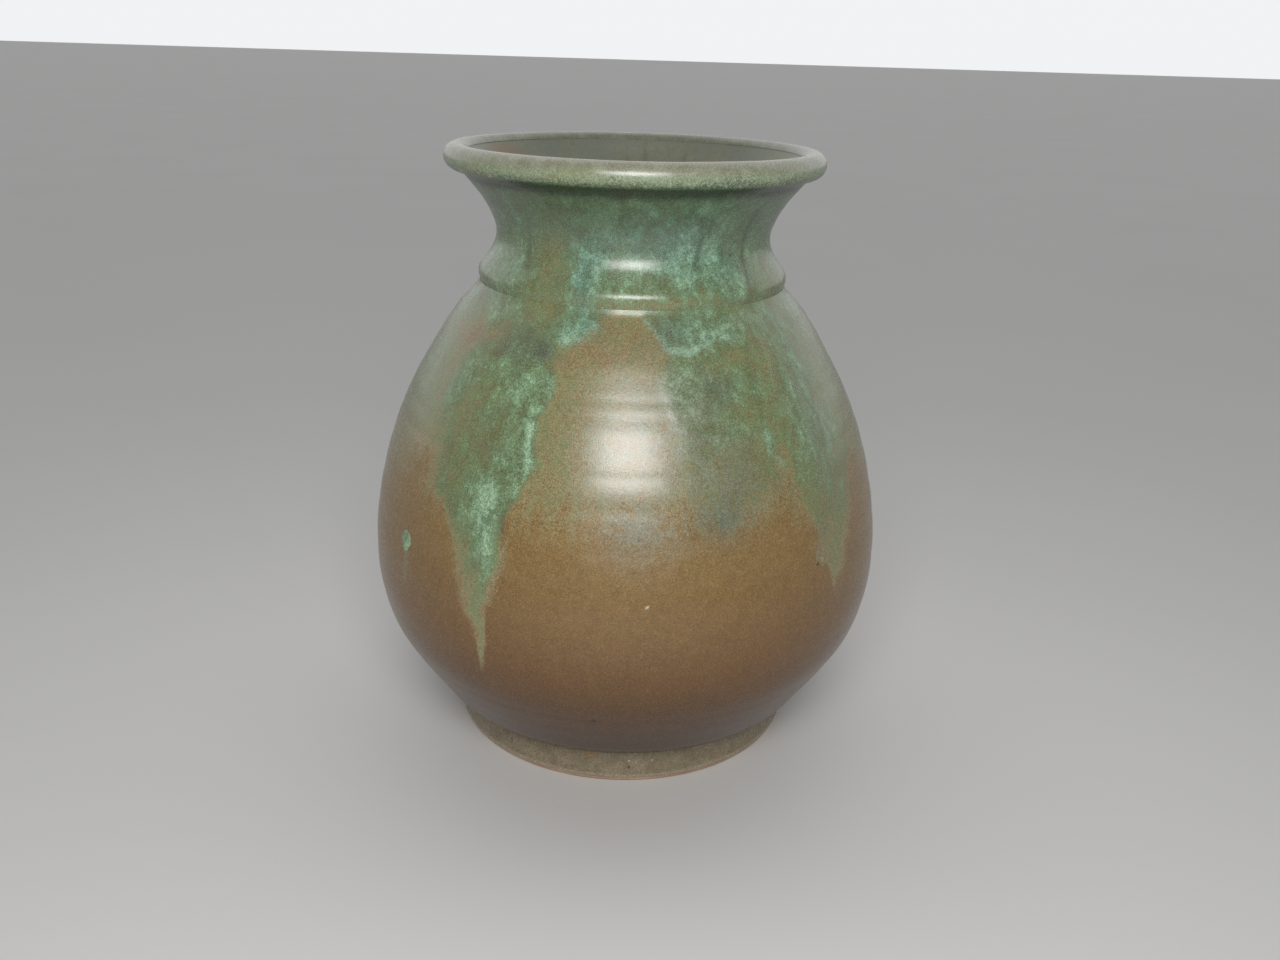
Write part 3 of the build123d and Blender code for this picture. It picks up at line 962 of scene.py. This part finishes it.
def turned_foot():
    """The clay foot ring, rounded where it stands, with its recess."""
    bore_low, bore_top = FOOT_BORE
    outline = np.vstack([
        arc_line((FOOT_LOW_RADIUS - COAT - 1.4, 1.4), 1.4, -90, 0, 8),
        [(FOOT_LOW_RADIUS - COAT, BARE_EDGE + 1.0), (FOOT_TOP_RADIUS - COAT, FOOT_HEIGHT)],
        [(bore_top, FOOT_HEIGHT), (bore_top + 0.4, 10.0)],
        arc_line((bore_low + 1.6, 1.6), 1.6, 180, 270, 8),
        [(64.0, 0.0), (67.0, 0.0)],
    ])
    return turned("turned_foot", outline, FOOT_COLUMNS)


belly = poured("belly_glaze", belly_line())
collar = poured("collar_glaze", collar_line())
lining = inside_lining()
foot = turned_foot()

glaze = poured_glaze()
clay = bare_clay()
liner = liner_glaze()


def dressed(piece, material, slot, *nodes):
    """Gives a piece its material and its body, and hides the CAD nodes that it stands for."""
    piece.data.materials.clear()
    piece.data.materials.append(material)
    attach(piece, BODY)
    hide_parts(*nodes)


dressed(belly, glaze, "brown_glaze", "base_glaze", "glaze_runs")
dressed(collar, glaze, "copper_green_glaze", "green_glaze")
dressed(lining, liner, "liner_glaze", "liner_glaze")
dressed(foot, clay, "bare_clay", "foot_ring")
for name in ("thrown_body", "neck_collar"):
    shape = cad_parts[name]
    shape.data.materials.clear()
    shape.data.materials.append(clay)


def splash_drop():
    """A drop of green glaze that was splashed on the belly, narrower at its lower end."""
    direction = math.radians(DROP_DIRECTION)
    lean = math.radians(DROP_LEAN)
    deselect()
    bpy.ops.mesh.primitive_uv_sphere_add(segments=40, ring_count=24, radius=DROP_HALF_WIDTH * MM)
    drop = bpy.context.object
    drop.name = "splash_drop"
    bpy.ops.object.mode_set(mode="EDIT")
    bpy.ops.mesh.select_all(action="SELECT")
    bpy.ops.transform.resize(value=DROP_SHAPE)
    bpy.ops.object.mode_set(mode="OBJECT")
    taper = drop.modifiers.new("taper", "SIMPLE_DEFORM")
    taper.deform_method = "TAPER"
    taper.deform_axis = "Z"
    taper.factor = DROP_TAPER
    taper.limits = (0.0, 0.5)
    taper.lock_y = True
    bpy.ops.object.modifier_apply(modifier="taper")
    drop.location = (DROP_RADIUS * MM * math.sin(direction),
                     -DROP_RADIUS * MM * math.cos(direction), DROP_HEIGHT * MM)
    drop.rotation_euler = (-lean, 0.0, direction)
    bpy.ops.object.transform_apply(location=True, rotation=True, scale=True)
    bpy.ops.object.shade_smooth()
    write_values(drop, "green", np.full(len(drop.data.vertices), DROP_GREEN))
    dressed(drop, glaze, "copper_green_glaze", "glaze_drop")


splash_drop()


# ---- studio, in metres ----------------------------------------------------------------
FLOOR_SIZE = 60.0
FLOOR_GAP = 0.0002             # keeps the foot and the floor from sharing a plane
CAMERA_PLACE = (0.0, -0.4599, 0.2751)
CAMERA_LENS = 32.35            # millimetres, for a sensor 36 mm wide
LOOKS_DOWN = 20.57             # degrees
LOOKS_SIDEWAYS = -0.69
TILTS = 1.745


def pale_floor():
    """A wide plain floor just under the foot."""
    deselect()
    bpy.ops.mesh.primitive_plane_add(size=FLOOR_SIZE, location=(0, 0, -FLOOR_GAP))
    floor = bpy.context.object
    floor.name = "studio_floor"
    material, tree = new_material("pale_floor")
    spot = node(tree, "ShaderNodeTexCoord").outputs["Object"]
    shade = mixed(tree, grain(tree, spot, 300, 2), colour(0.75, 0.74, 0.72),
                  colour(0.79, 0.78, 0.76))
    surface(tree, shade, 0.7, bumped(tree, grain(tree, spot, 2), 0.02, 0.1))
    floor.data.materials.append(material)


def lamp(name, place, width, height, power, target):
    """A rectangular lamp, in metres and watts, aimed at a place."""
    light = bpy.data.lights.new(name, "AREA")
    light.shape = "RECTANGLE"
    light.size = width
    light.size_y = height
    light.energy = power
    holder = bpy.data.objects.new(name, light)
    bpy.context.scene.collection.objects.link(holder)
    holder.location = place
    aim = Vector(target) - Vector(place)
    holder.rotation_euler = aim.to_track_quat("-Z", "Y").to_euler()


def studio_sky():
    """Surroundings that are pale behind the vase and dark behind the camera."""
    world = bpy.data.worlds.new("studio_surroundings")
    world.use_nodes = True
    tree = world.node_tree
    tree.nodes.clear()
    way = node(tree, "ShaderNodeTexCoord").outputs["Generated"]
    ahead = node(tree, "ShaderNodeSeparateXYZ", {0: way}).outputs["Y"]
    tone = mixed(tree, between(tree, ahead, -0.10, 0.55), colour(0.05, 0.05, 0.052),
                 colour(0.88, 0.89, 0.90))
    glow = node(tree, "ShaderNodeBackground", {"Color": tone, "Strength": 1.0})
    node(tree, "ShaderNodeOutputWorld", {"Surface": glow.outputs[0]})
    bpy.context.scene.world = world


def camera():
    """Looks down at the vase from a hand-held height, tilted a little."""
    view = bpy.data.cameras.new("camera")
    view.lens = CAMERA_LENS
    view.sensor_width = 36.0
    view.clip_start = 0.01
    holder = bpy.data.objects.new("camera", view)
    bpy.context.scene.collection.objects.link(holder)
    down = math.radians(LOOKS_DOWN)
    holder.matrix_world = (Matrix.Translation(CAMERA_PLACE)
                           @ Matrix.Rotation(math.radians(LOOKS_SIDEWAYS), 4, "Z")
                           @ Matrix.Rotation(math.pi / 2 - down, 4, "X")
                           @ Matrix.Rotation(math.radians(TILTS), 4, "Z"))
    bpy.context.scene.camera = holder


pale_floor()
lamp("key_lamp", (0.0, -0.50, 0.415), 0.25, 0.20, 1.65, (0, 0, 0.13))
lamp("soft_panel", (0.0, -0.52, 0.415), 0.35, 0.63, 0.45, (0, 0, 0.415))
studio_sky()
camera()
bpy.context.scene.view_settings.view_transform = "Standard"
